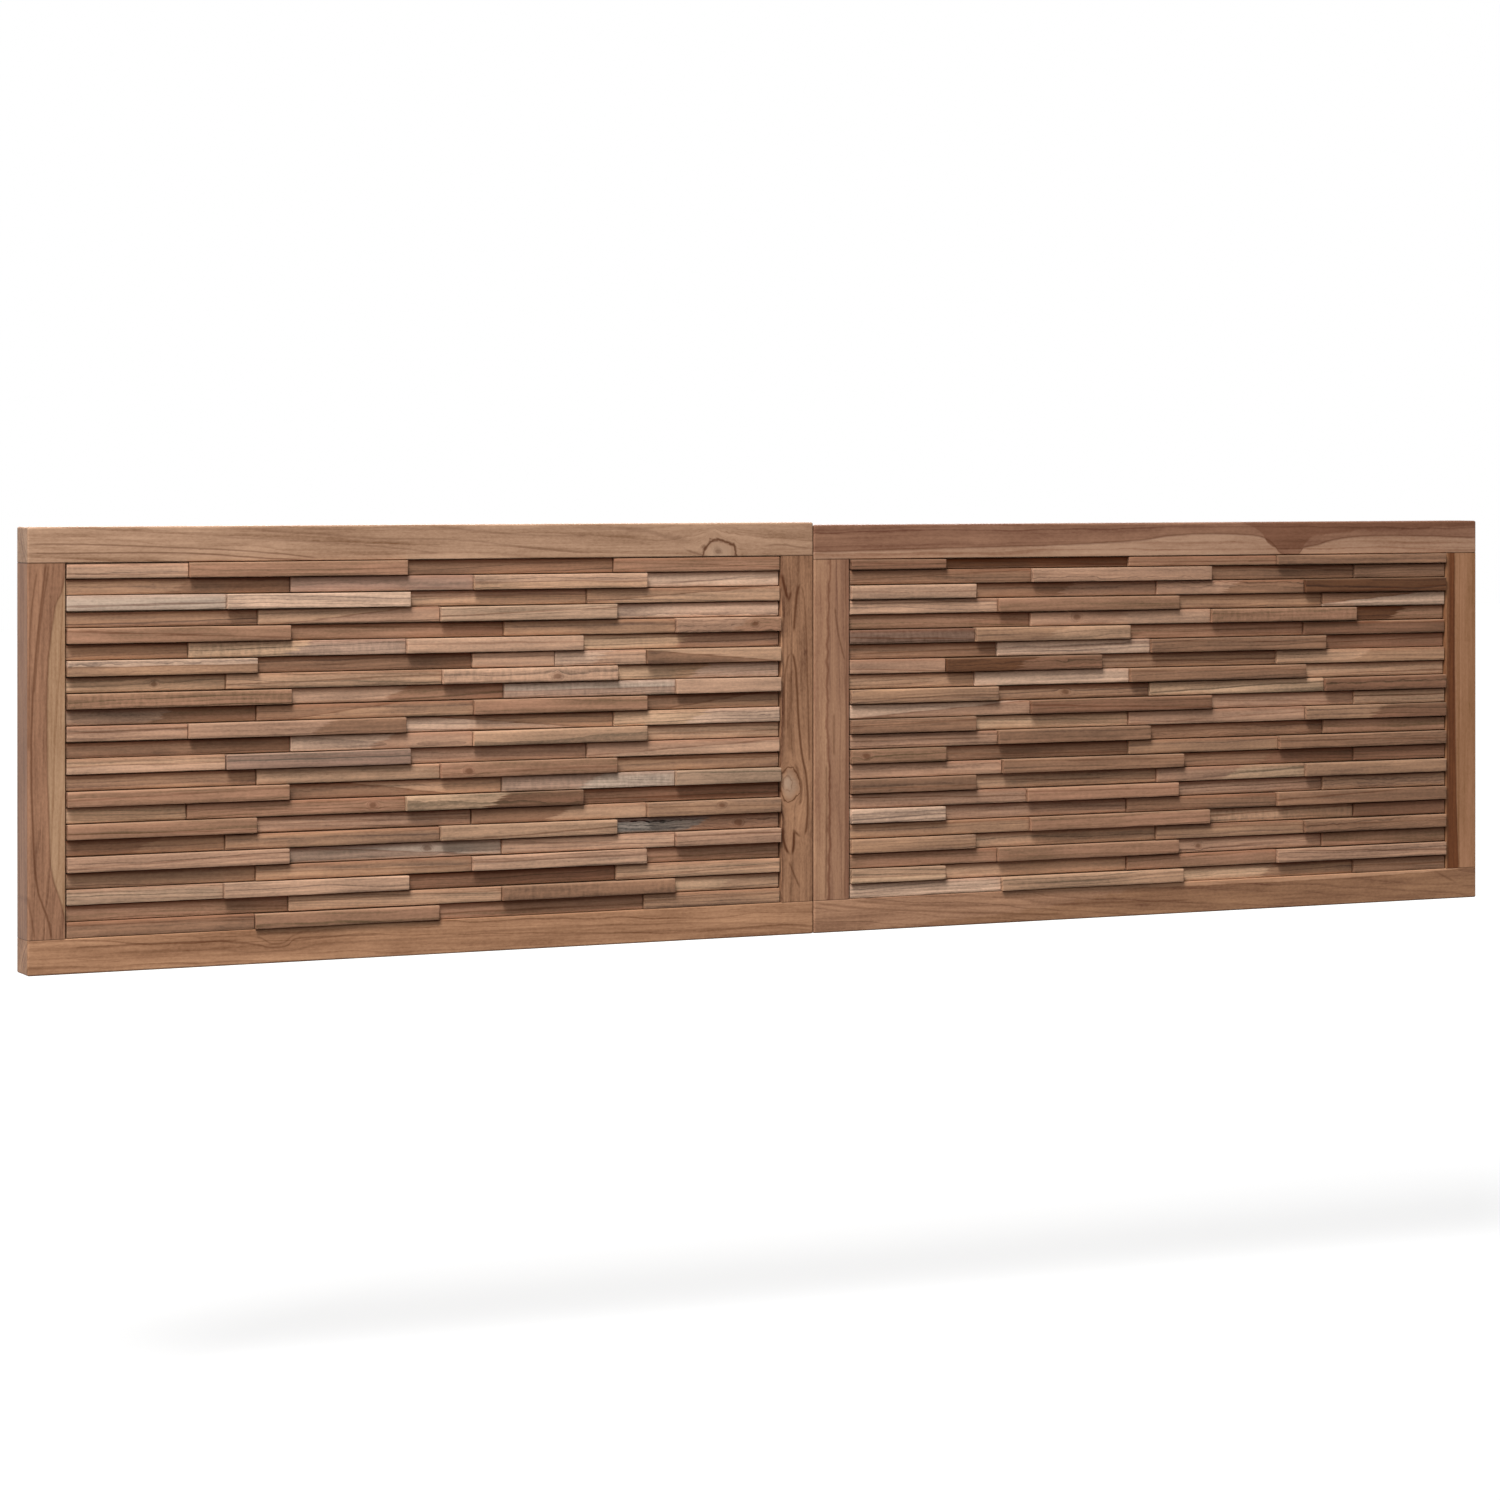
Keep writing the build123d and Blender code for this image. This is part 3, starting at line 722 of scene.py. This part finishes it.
cut_off_top = add(strip_tree, "CombineXYZ", {2: cut_off_top})
worn_place = add(strip_tree, "VectorMath", {0: worn_place, 1: cut_off_top}, operation="SUBTRACT")
final_place = add(strip_tree, "VectorMath", {0: strip_corner, 1: worn_place}, operation="ADD")
marked_strips = add(
    strip_tree,
    "GeometryNodeStoreNamedAttribute",
    {"Geometry": blocks, "Name": "strip_place", "Value": eased_place},
    data_type="FLOAT_VECTOR",
    domain="POINT",
)
shaped_strips = add(
    strip_tree, "GeometryNodeSetPosition", {"Geometry": marked_strips, "Position": final_place}
)
smooth_strips = add(strip_tree, "GeometryNodeSetShadeSmooth", {"Geometry": shaped_strips})
finished_strips = add(
    strip_tree,
    "GeometryNodeSetMaterial",
    {"Geometry": smooth_strips, "Material": strip_in.outputs["Finish"]},
)
strip_tree.links.new(finished_strips.outputs[0], strip_out.inputs["Geometry"])

# Sawn, dry teak with little oil: matt, with open grain and shallow saw waves. The finish reads what
# each strip's point carried. Two pairs of tones may meet along a line that slants, lies level or
# stands upright, where heartwood turns to sapwood. A dark vein follows the line, as strong as the
# third value of strip_taper says, and painted red-brown shade darkens the strips' sides the deeper
# they lie between the strips.
offcut_teak, tree = new_material("rough_teak_offcuts")
point_vectors = ("corner", "size", "taper", "cut", "lie", "marks", "split", "knot")
point_colours = ("light_tone", "dark_tone", "second_light", "second_dark")
carried = {}
for name in ("place", *point_vectors[1:]):
    attribute = add(tree, "Attribute", attribute_name="strip_" + name)
    carried["strip_" + name] = attribute.outputs["Vector"]
for name in point_colours:
    carried[name] = add(tree, "Attribute", attribute_name=name).outputs["Color"]
in_millimetres = add(
    tree, "VectorMath", {0: carried["strip_place"], "Scale": 1 / millimetre}, operation="SCALE"
)
strip_flow = add(
    tree,
    "Group",
    {"Place": in_millimetres, "Flow": in_millimetres, "Knot": carried["strip_knot"]},
    node_tree=knot_tree,
)
strip_seed = add(tree, "SeparateXYZ", {0: carried["strip_marks"]}).outputs[2]
spot_along, spot_deep, spot_up = add(tree, "SeparateXYZ", {0: in_millimetres}).outputs
split_along, split_up, split_offset = add(tree, "SeparateXYZ", {0: carried["strip_split"]}).outputs
split_gap = add(tree, "Math", {0: spot_along, 1: split_along, 2: split_offset}, operation="MULTIPLY_ADD")
split_gap = add(tree, "Math", {0: spot_up, 1: split_up, 2: split_gap}, operation="MULTIPLY_ADD")
split_noise_place = add(tree, "VectorMath", {0: in_millimetres, 1: (0.014, 0.4, 0.5)}, operation="MULTIPLY")
split_noise = add(
    tree,
    "TexNoise",
    {"Vector": split_noise_place, "W": strip_seed, "Scale": 1, "Detail": 4},
    noise_dimensions="4D",
)
split_noise = add(tree, "Math", {0: split_noise, 1: 0.5}, operation="SUBTRACT")
split_gap = add(tree, "Math", {0: split_noise, 1: 6.0, 2: split_gap}, operation="MULTIPLY_ADD")
split_side = add(tree, "MapRange", {0: split_gap, 1: -0.4, 2: 0.4}, interpolation_type="SMOOTHSTEP")
vein_shade = add(tree, "Math", {0: split_gap}, operation="ABSOLUTE")
vein_shade = add(tree, "MapRange", {0: vein_shade, 1: 1.4, 2: 0.0}, interpolation_type="SMOOTHSTEP")
vein_share = add(tree, "SeparateXYZ", {0: carried["strip_taper"]}).outputs[2]
light_tone, dark_tone = [
    add(tree, "Mix", {0: split_side, 6: carried[below], 7: carried[above]}, data_type="RGBA").outputs[2]
    for above, below in (("light_tone", "second_light"), ("dark_tone", "second_dark"))
]
strip_grain = add(
    tree,
    "Group",
    {
        "Place": strip_flow.outputs["Flow"],
        "Seed": strip_seed,
        "Light": light_tone,
        "Dark": dark_tone,
        "Cut": carried["strip_cut"],
        "Lie": carried["strip_lie"],
        "Marks": carried["strip_marks"],
    },
    node_tree=grain_tree,
)
strip_colour = strip_grain.outputs["Color"]
for mask, shade_share in (
    (strip_flow.outputs["Core"], 0.6),
    (strip_flow.outputs["Rim"], 0.3),
    (vein_shade.outputs[0], vein_share),
):
    strength = add(tree, "Math", {0: mask, 1: shade_share}, operation="MULTIPLY")
    strip_colour = add(
        tree, "Mix", {0: strength, 6: strip_colour, 7: linear("#532C18")}, data_type="RGBA"
    ).outputs[2]
# Painted shade: the strips' sides and ends turn darker red-brown from 3 to 14 mm behind the face, where
# shade falls between the strips.
deep_painted_shade = add(tree, "MapRange", {0: spot_deep, 1: 3.0, 2: 14.0, 4: 0.6}, interpolation_type="SMOOTHSTEP")
strip_colour = add(
    tree, "Mix", {0: deep_painted_shade, 6: strip_colour, 7: linear("#572A12")}, data_type="RGBA"
).outputs[2]

# Painted light and shade in bands along the edges: what each is measured from, its width in
# millimetres, its strength, the strips that have it and its colour. Proud strips get a painted
# highlight on the top arris and a painted shadow line along the under edge. Recessed ones get
# painted red-brown shade below the strip above them, and painted light at their foot that softens
# the shade where they meet the strip below.
_, own_depth, own_height = add(tree, "SeparateXYZ", {0: carried["strip_size"]}).outputs
under_top = add(tree, "Math", {0: own_height, 1: 1 / millimetre}, operation="MULTIPLY")
under_top = add(tree, "Math", {0: under_top, 1: spot_up}, operation="SUBTRACT")
recessed = add(tree, "MapRange", {0: own_depth, 1: thickest_strip, 2: thinnest_strip})
exposed = add(tree, "Math", {0: 1.0, 1: recessed}, operation="SUBTRACT")
for edge_distance, band_width, band_strength, band_strips, painted_band_colour in (
    (under_top, 1.6, 0.15, exposed, "#D0AC8C"),
    (under_top, 6.0, 0.42, recessed, "#80380F"),
    (spot_up, 2.4, 0.22, recessed, "#C89F7E"),
    (spot_up, 0.7, 0.3, exposed, "#5A260E"),
):
    painted_band = add(
        tree,
        "MapRange",
        {0: edge_distance, 1: band_width, 2: 0.2, 4: band_strength},
        interpolation_type="SMOOTHSTEP",
    )
    painted_band = add(tree, "Math", {0: painted_band, 1: band_strips}, operation="MULTIPLY")
    strip_colour = add(
        tree, "Mix", {0: painted_band, 6: strip_colour, 7: linear(painted_band_colour)}, data_type="RGBA"
    ).outputs[2]
strip_bump = add(
    tree, "Bump", {"Height": strip_grain.outputs["Height"], "Strength": 0.4, "Distance": 0.3 * millimetre}
)

# The face is also wavy from the saw, in dips some 60 mm long and 12 mm high.
dip_place = add(tree, "VectorMath", {0: in_millimetres, 1: (0.016, 0.08, 0.08)}, operation="MULTIPLY")
dips = add(
    tree, "TexNoise", {"Vector": dip_place, "W": strip_seed, "Scale": 1, "Detail": 2}, noise_dimensions="4D"
)
strip_bump = add(
    tree, "Bump", {"Height": dips, "Strength": 0.7, "Distance": 2.0 * millimetre, "Normal": strip_bump}
)
strip_shader = add(
    tree,
    "BsdfPrincipled",
    {
        "Base Color": strip_colour,
        "Roughness": 0.7,
        "IOR": 1.5,
        "Specular IOR Level": 0.06,
        "Normal": strip_bump,
    },
)
add(tree, "OutputMaterial", {"Surface": strip_shader})


def solid_boxes(node):
    """The lowest and highest corners of each separate solid in a frame node, from left to right."""
    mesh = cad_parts[node].data
    spots = [tuple(round(value, 6) for value in vertex.co) for vertex in mesh.vertices]
    leaders = {spot: spot for spot in spots}

    def leader(spot):
        while leaders[spot] != spot:
            leaders[spot] = leaders[leaders[spot]]
            spot = leaders[spot]
        return spot

    for polygon in mesh.polygons:
        first, *others = [spots[index] for index in polygon.vertices]
        for other in others:
            leaders[leader(other)] = leader(first)
    groups = {}
    for spot in leaders:
        groups.setdefault(leader(spot), []).append(spot)
    boxes = [(Vector(np.min(group, 0)), Vector(np.max(group, 0))) for group in groups.values()]
    return sorted(boxes, key=lambda box: box[0].x)


# One word tells a strip's finish, in rows from the top and strips from the left. It names a tone, or
# two tones and the line between them: - lies level, / rises and : falls to the right, and | stands
# upright. The digit gives the line's place in tenths. A star and a digit place a knot, ~ is curly
# grain, # is saw marks and = is striped.
finish_words = {
    "left": (
        "k r p r",
        "b|5p m~ k-5h w",
        "g w t-4h b/4h",
        "b= h/5t o w~",
        "r r b t|6r*7~",
        "b y|5l# k y|5t",
        "w-4b~ p= k w|5k h:5p",
        "y*5 h k#*6 y|5v",
        "r# k|5r g-5l# k~",
        "k|5r p/4b r p/5b",
        "t t|6p h:5w y|5w",
        "p w|5t h h",
        "h-5k m= t t/5k",
        "b h r*1 b",
        "r h:5p~ l|5g# o",
        "y r*8 y|5d~ d",
        "r t p|5h b*5",
        "p|5b b h q|5t=~*7",
        "t g:5l*6 k t",
        "b b t-4k r",
        "o k d h",
        "r h p# y|5h",
        "p r r b",
    ),
    "right": (
        "d x r p",
        "p t~ p p",
        "k p|5t t|5p~ x=",
        "k r b r/3w",
        "r t|5k*2 r# x|5r",
        "n# b|5h r h-1d",
        "p w p d",
        "t x|5d~ b h|5b",
        "h w p h",
        "b p-3b*4 y= d~",
        "w/5t d t h",
        "p y t b|5d=",
        "t p p~ r",
        "r*1 p b p",
        "t~ p p|5d d",
        "p h t|5y b",
        "t r t b~",
        "w= t p p",
        "b r h# d",
        "b h b p~",
        "r r t*1 r",
        "h-6y h r t",
        "w h y|5b p",
    ),
}
finish_pattern = re.compile(r"([a-z])(?:([-/:|])(\d)([a-z]))?([~#=]*)(?:\*(\d))?([~#=]*)")
end_reach = Vector((strip_end_reach, 0, 0))
identifiers = {
    item.name: item.identifier for item in strip_tree.interface.items_tree if item.in_out == "INPUT"
}
for side, rows in finish_words.items():
    for number, words in enumerate(rows, start=1):
        node = f"{side}_strip_row_{number:02d}"
        dice = random.Random(node)
        boxes = [(low - end_reach, high + end_reach) for low, high in solid_boxes(node)]
        points = bpy.data.meshes.new(node + "_points")
        points.from_pydata([low for low, high in boxes], [], [])
        vectors = {name: [] for name in point_vectors}
        colours = {name: [] for name in point_colours}
        for (low, high), word in zip(boxes, words.split()):
            finish = finish_pattern.match(word).groups()
            tone, line, tenth, second_tone, early_marks, knot_tenth, late_marks = finish
            mark_letters = early_marks + late_marks
            length, thickness, height = (high - low) / millimetre
            line_share = int(tenth or 0) / 10
            slope = dice.uniform(0.05, 0.14)
            # What a millimetre along the strip, and one up it, add to the distance from the line.
            ways = {"-": (0, 1), "/": (-slope, 1), ":": (slope, 1), "|": (-0.12, 0.2)}
            way = ways.get(line, (slope - 0.095, 1))
            line_place = (length * line_share, height / 2)
            if line == "-":
                line_place = (length / 2, height * (1 - line_share))
            vein_place = (length * dice.uniform(0.2, 0.8), height * dice.uniform(0.2, 0.8))
            vein_strength = dice.choice((0, 0.2, 0.4, 0.55))
            if line is None:
                line_place = vein_place
            else:
                vein_strength = 0 if line == "|" else 0.45
            offset = -(way[0] * line_place[0] + way[1] * line_place[1])
            vectors["corner"] += list(low)
            vectors["size"] += list(high - low)
            tapers = [dice.uniform(0, most_taper) for end in range(2)]
            vectors["taper"] += [*tapers, vein_strength]
            vectors["cut"] += [dice.uniform(2.5, 5), dice.uniform(-50, 60), dice.uniform(10, 50)]
            curl = 9 if "~" in mark_letters else 1.5
            vectors["lie"] += [dice.gauss(0, 0.02), dice.uniform(6, 14), curl]
            saw_marks = 1.1 if "#" in mark_letters else 0.2
            stripes = 0.5 if "=" in mark_letters else 0
            vectors["marks"] += [saw_marks, stripes, dice.uniform(0, 50)]
            vectors["split"] += [*way, offset]
            knot_size = dice.uniform(3.8, 5.8)
            vectors["knot"] += [
                length * (int(knot_tenth or 0) + 0.5) / 10,
                height * dice.uniform(0.35, 0.65),
                knot_size if knot_tenth else 0,
            ]
            for name, value in zip(colours, strip_tones[tone] + strip_tones[second_tone or tone]):
                colours[name] += linear(value)
        for name, numbers in vectors.items():
            attribute = points.attributes.new("strip_" + name, "FLOAT_VECTOR", "POINT")
            attribute.data.foreach_set("vector", numbers)
        for name, numbers in colours.items():
            attribute = points.attributes.new(name, "FLOAT_COLOR", "POINT")
            attribute.data.foreach_set("color", numbers)
        maker = bpy.data.objects.new(node + "_maker", points)
        bpy.context.scene.collection.objects.link(maker)
        modifier = maker.modifiers.new("strips", "NODES")
        modifier.node_group = strip_tree
        modifier[identifiers["Arris"]] = strip_arris
        modifier[identifiers["Edge Wear"]] = strip_edge_wear
        modifier[identifiers["Seed"]] = float(number)
        modifier[identifiers["Finish"]] = offcut_teak
        evaluated = maker.evaluated_get(bpy.context.evaluated_depsgraph_get())
        row_mesh = bpy.data.meshes.new_from_object(evaluated)
        row_name = f"{side}_teak_row_{number:02d}"
        row_mesh.name = row_name
        row = bpy.data.objects.new(row_name, row_mesh)
        bpy.context.scene.collection.objects.link(row)
        bpy.data.objects.remove(maker)
        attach(row, "root")
        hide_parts(node)

# Hanger plates. Pressed steel keyhole plates, bright zinc plated, are let in flush with the back of
# each top rail. They hang on the heads of wall screws. Rolling has left fine lines along them, in
# grey and in gloss, that are drawn about ten times as coarse as they are.

bright_zinc, tree = new_material("bright_zinc_plated_steel")
plate_spot = add(tree, "TexCoord").outputs["Object"]
plate_place = add(tree, "Mapping", {"Vector": plate_spot, "Scale": (40, 400, 900)})
plate_brush = add(tree, "TexNoise", {"Vector": plate_place, "Scale": 1, "Detail": 3})
plate_rough = add(tree, "MapRange", {0: plate_brush, 1: 0.2, 2: 0.8, 3: 0.25, 4: 0.5})
plate_colour = add(
    tree, "Mix", {0: plate_brush, 6: linear("#C6C8C9"), 7: linear("#A3A6A8")}, data_type="RGBA"
)
plate_shader = add(
    tree,
    "BsdfPrincipled",
    {"Base Color": plate_colour.outputs[2], "Metallic": 1.0, "Roughness": plate_rough},
)
add(tree, "OutputMaterial", {"Surface": plate_shader})
dress("hanger_plates", bright_zinc)

# Hanger screws. Two short countersunk screws hold each plate. They are of the same yellow zinc
# plated steel as the board screws, so they look warm on the grey plate.

dress("hanger_screws", zinc_steel)

# Studio. The headboard hangs above a plain white floor in a white surround. A strong soft lamp
# stands high in front on the left, a weak one lower beside it, and a third lights the back. The
# camera looks level from the left.

floor_drop = 0.45
floor_size = 40.0


def seen_directly(tree):
    """1 where the camera sees a surface itself, in a mirror or through glass, and otherwise 0."""
    rays = add(tree, "LightPath").outputs
    seen = rays["Is Camera Ray"]
    for ray in ("Is Glossy Ray", "Is Transmission Ray"):
        seen = add(tree, "Math", {0: seen, 1: rays[ray]}, operation="MAXIMUM")
    return seen


# The floor glows white to the eye, a little less below the headboard, and its shadow stays.
low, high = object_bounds()
floor_level = low[2] - floor_drop
floor_mesh = bpy.data.meshes.new("floor")
half = floor_size / 2
floor_corners = ((-half, -half), (half, -half), (half, half), (-half, half))
floor_mesh.from_pydata([(x, y, floor_level) for x, y in floor_corners], [], [(0, 1, 2, 3)])
floor = bpy.data.objects.new("floor", floor_mesh)
bpy.context.scene.collection.objects.link(floor)
floor_paint, tree = new_material("matt_white_floor")
floor_diffuse = add(tree, "BsdfDiffuse", {"Color": linear("#6E6E6E")})
floor_spot = add(tree, "TexCoord").outputs["Object"]
floor_reach = add(tree, "VectorMath", {0: floor_spot}, operation="LENGTH")
glow_share = add(tree, "MapRange", {0: floor_reach.outputs["Value"], 1: 1.6, 2: 5.0, 3: 0.72, 4: 1.0})
floor_glow = add(tree, "Emission", {"Color": (1, 1, 1, 1), "Strength": glow_share})
floor_shaded = add(tree, "BsdfDiffuse", {"Color": linear("#818181")})
floor_seen = add(tree, "AddShader", {0: floor_shaded, 1: floor_glow})
floor_mix = add(tree, "MixShader", {0: seen_directly(tree), 1: floor_diffuse, 2: floor_seen})
add(tree, "OutputMaterial", {"Surface": floor_mix})
floor_mesh.materials.append(floor_paint)

world = bpy.data.worlds.new("studio")
world.use_nodes = True
bpy.context.scene.world = world
tree = world.node_tree
tree.nodes.clear()
surround_light = add(tree, "Background", {"Color": (1, 1, 1, 1), "Strength": 0.12})
surround_seen = add(tree, "Background", {"Color": (1, 1, 1, 1), "Strength": 1.0})
surround = add(tree, "MixShader", {0: seen_directly(tree), 1: surround_light, 2: surround_seen})
add(tree, "OutputWorld", {"Surface": surround})

lamp_aim = (low + high) / 2
for lamp_name, lamp_place, width, height, energy in (
    ("overhead_softbox", (-2.9, -3.0, 5.8), 2.6, 3.0, 788),
    ("front_fill", (-3.8, -4.9, 3.09), 4.0, 3.0, 165),
    ("back_fill", (1.2, 4.8, 2.6), 4.0, 3.0, 260),
):
    lamp_data = bpy.data.lights.new(lamp_name, "AREA")
    lamp_data.shape = "RECTANGLE"
    lamp_data.size = width
    lamp_data.size_y = height
    lamp_data.energy = energy
    lamp = bpy.data.objects.new(lamp_name, lamp_data)
    lamp.location = lamp_place
    lamp.rotation_euler = (lamp_aim - lamp.location).to_track_quat("-Z", "Y").to_euler()
    bpy.context.scene.collection.objects.link(lamp)

camera_data = bpy.data.cameras.new("camera")
camera_data.lens = 98.49
camera_data.shift_y = -0.1864
camera_data.clip_end = 100
camera = bpy.data.objects.new("camera", camera_data)
camera.location = (-2.0642, -4.1392, 0.0756)
camera.rotation_euler = (math.radians(90), 0, math.radians(-25.828))
bpy.context.scene.collection.objects.link(camera)
bpy.context.scene.camera = camera

bpy.context.scene.view_settings.view_transform = "Standard"
